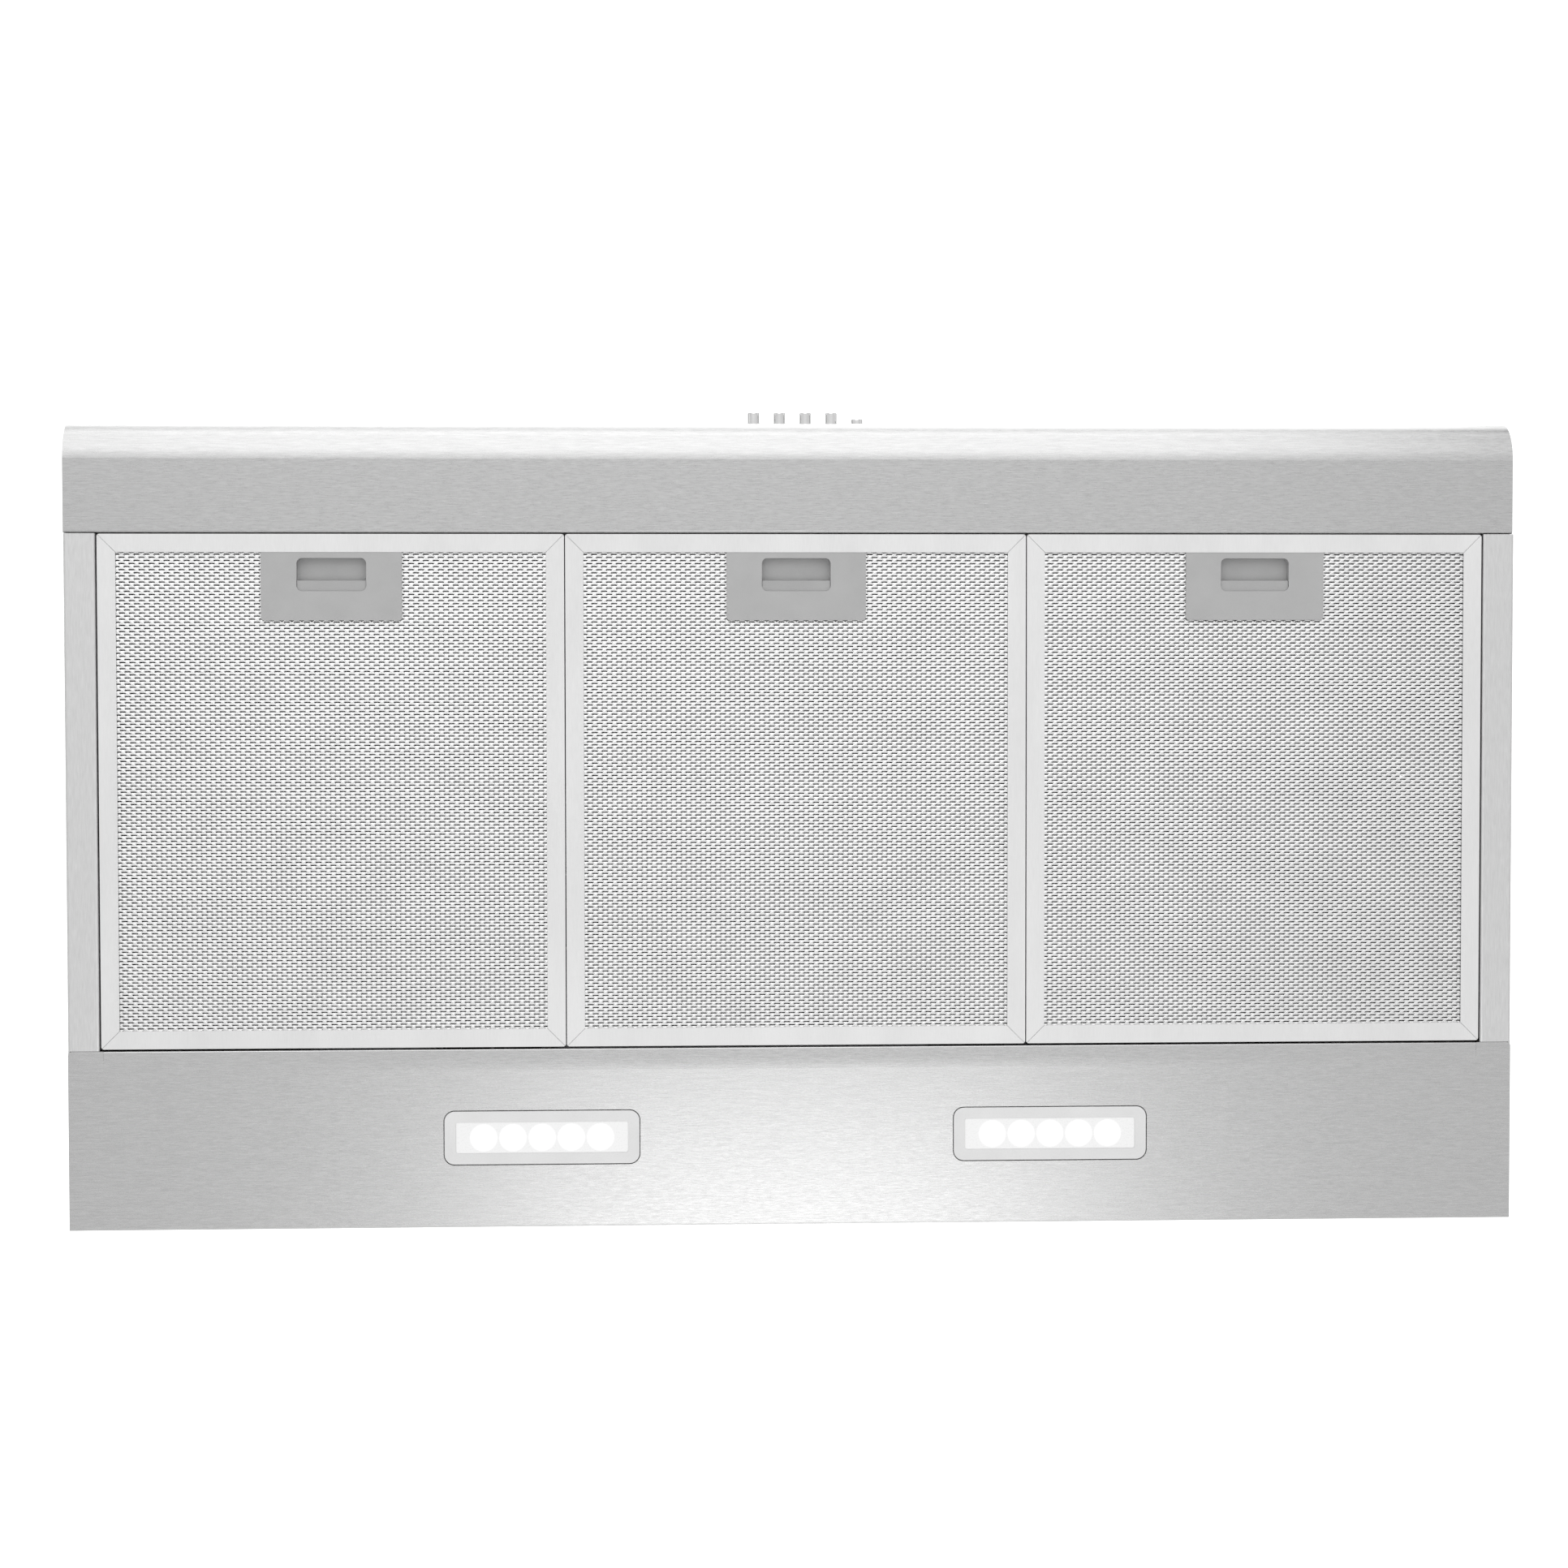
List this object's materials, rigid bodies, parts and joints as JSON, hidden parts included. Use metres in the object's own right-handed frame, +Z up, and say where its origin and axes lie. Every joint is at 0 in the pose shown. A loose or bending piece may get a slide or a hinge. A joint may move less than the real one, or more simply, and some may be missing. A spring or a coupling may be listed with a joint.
{
  "type": "under cabinet range hood",
  "caption": "Slim stainless under cabinet range hood with drop-down mesh filters, push buttons, lit LED lamps, a centrifugal blower and a round top duct collar.",
  "frame": {"origin": "centre of the hood's plan on the top face that meets the cabinet", "axes": "+X to the right along the width, -Y to the front with the push buttons, +Z up into the cabinet"},
  "size_m": [0.9, 0.508, 0.16],
  "materials": {
    "brushed_stainless": "brushed along the width, across it on the side strips",
    "frame_aluminium": "satin",
    "mesh_aluminium": "expanded mesh",
    "latch_grey": "fine matt",
    "slider_grey": "fine matt",
    "spring_steel": "drawn wire",
    "zinc_screws": "zinc plated",
    "button_chrome": "polished",
    "lamp_window": "frosted, lit",
    "led_white": "white board, lit domes",
    "lamp_bezel": "light grey",
    "black_plastic": "moulded",
    "galvanised_steel": "galvanised",
    "cable_black": "sheath",
    "white_plastic": "moulded"
  },
  "bodies": {
    "hood": {"blower_cover": "black_plastic", "blower_housing": "black_plastic", "blower_screws": "zinc_screws", "button_collars": "button_chrome", "button_spring_1": "spring_steel", "button_spring_2": "spring_steel", "button_spring_3": "spring_steel", "button_spring_4": "spring_steel", "button_spring_5": "spring_steel", "cable_gland": "cable_black", "canopy_shell": "brushed_stainless", "capacitor": "white_plastic", "casing_screws": "zinc_screws", "damper_rod": "spring_steel", "duct_collar": "black_plastic", "front_panel": "brushed_stainless", "inlet_guard": "spring_steel", "lamp_harness": "cable_black", "lamp_housing_left": "lamp_bezel", "lamp_housing_right": "lamp_bezel", "lamp_lens_left": "lamp_window", "lamp_lens_right": "lamp_window", "lamp_panel": "brushed_stainless", "led_board_left": "led_white", "led_board_right": "led_white", "led_driver": "white_plastic", "motor_bracket": "galvanised_steel", "motor_case": "galvanised_steel", "side_panel_left": "brushed_stainless", "side_panel_right": "brushed_stainless", "switch_bracket": "galvanised_steel", "switch_housing": "white_plastic", "terminal_block": "white_plastic", "terminal_box": "galvanised_steel", "terminal_cover": "galvanised_steel", "wiring_harness": "cable_black"},
    "filter_left": {"filter_frame_left": "frame_aluminium", "filter_mesh_left": "mesh_aluminium", "latch_plate_left": "latch_grey", "latch_spring_left": "spring_steel"},
    "latch_left": {"latch_slider_left": "slider_grey"},
    "filter_centre": {"filter_frame_centre": "frame_aluminium", "filter_mesh_centre": "mesh_aluminium", "latch_plate_centre": "latch_grey", "latch_spring_centre": "spring_steel"},
    "latch_centre": {"latch_slider_centre": "slider_grey"},
    "filter_right": {"filter_frame_right": "frame_aluminium", "filter_mesh_right": "mesh_aluminium", "latch_plate_right": "latch_grey", "latch_spring_right": "spring_steel"},
    "latch_right": {"latch_slider_right": "slider_grey"},
    "push_button_1": {"button_1": "button_chrome"},
    "push_button_2": {"button_2": "button_chrome"},
    "push_button_3": {"button_3": "button_chrome"},
    "push_button_4": {"button_4": "button_chrome"},
    "push_button_5": {"button_5": "button_chrome"},
    "fan_wheel": {"impeller": "black_plastic", "motor_shaft": "spring_steel"},
    "damper_front": {"damper_flap_front": "black_plastic"},
    "damper_rear": {"damper_flap_rear": "black_plastic"}
  },
  "joints": [
    {"name": "filter_left_hinge", "type": "hinge", "parent": "hood", "child": "filter_left", "pos_m": [-0.2866, 0.1378, -0.13], "axis": [1, 0, 0], "range_deg": [0, 60]},
    {"name": "latch_left_slide", "type": "slide", "parent": "filter_left", "child": "latch_left", "axis": [0, 1, 0], "range_m": [0, 0.005], "stiffness_N_per_m": 300, "springref_m": -0.004, "deforming": ["latch_spring_left"]},
    {"name": "filter_centre_hinge", "type": "hinge", "parent": "hood", "child": "filter_centre", "pos_m": [0, 0.1378, -0.13], "axis": [1, 0, 0], "range_deg": [0, 60]},
    {"name": "latch_centre_slide", "type": "slide", "parent": "filter_centre", "child": "latch_centre", "axis": [0, 1, 0], "range_m": [0, 0.005], "stiffness_N_per_m": 300, "springref_m": -0.004, "deforming": ["latch_spring_centre"]},
    {"name": "filter_right_hinge", "type": "hinge", "parent": "hood", "child": "filter_right", "pos_m": [0.2866, 0.1378, -0.13], "axis": [1, 0, 0], "range_deg": [0, 60]},
    {"name": "latch_right_slide", "type": "slide", "parent": "filter_right", "child": "latch_right", "axis": [0, 1, 0], "range_m": [0, 0.005], "stiffness_N_per_m": 300, "springref_m": -0.004, "deforming": ["latch_spring_right"]},
    {"name": "button_1_slide", "type": "slide", "parent": "hood", "child": "push_button_1", "axis": [0, 1, 0], "range_m": [0, 0.004], "stiffness_N_per_m": 300, "springref_m": -0.004, "deforming": ["button_spring_1"]},
    {"name": "button_2_slide", "type": "slide", "parent": "hood", "child": "push_button_2", "axis": [0, 1, 0], "range_m": [0, 0.004], "stiffness_N_per_m": 300, "springref_m": -0.004, "deforming": ["button_spring_2"]},
    {"name": "button_3_slide", "type": "slide", "parent": "hood", "child": "push_button_3", "axis": [0, 1, 0], "range_m": [0, 0.004], "stiffness_N_per_m": 300, "springref_m": -0.004, "deforming": ["button_spring_3"]},
    {"name": "button_4_slide", "type": "slide", "parent": "hood", "child": "push_button_4", "axis": [0, 1, 0], "range_m": [0, 0.004], "stiffness_N_per_m": 300, "springref_m": -0.004, "deforming": ["button_spring_4"]},
    {"name": "button_5_slide", "type": "slide", "parent": "hood", "child": "push_button_5", "axis": [0, 1, 0], "range_m": [-0.004, 0], "deforming": ["button_spring_5"]},
    {"name": "fan_spin", "type": "hinge", "parent": "hood", "child": "fan_wheel", "pos_m": [-0.19, 0.078, -0.07], "axis": [0, 0, 1], "continuous": true},
    {"name": "damper_front_hinge", "type": "hinge", "parent": "hood", "child": "damper_front", "pos_m": [0, 0.12, 0.02], "axis": [-1, 0, 0], "range_deg": [0, 80]},
    {"name": "damper_rear_hinge", "type": "hinge", "parent": "hood", "child": "damper_rear", "pos_m": [0, 0.12, 0.02], "axis": [1, 0, 0], "range_deg": [0, 80]}
  ]
}
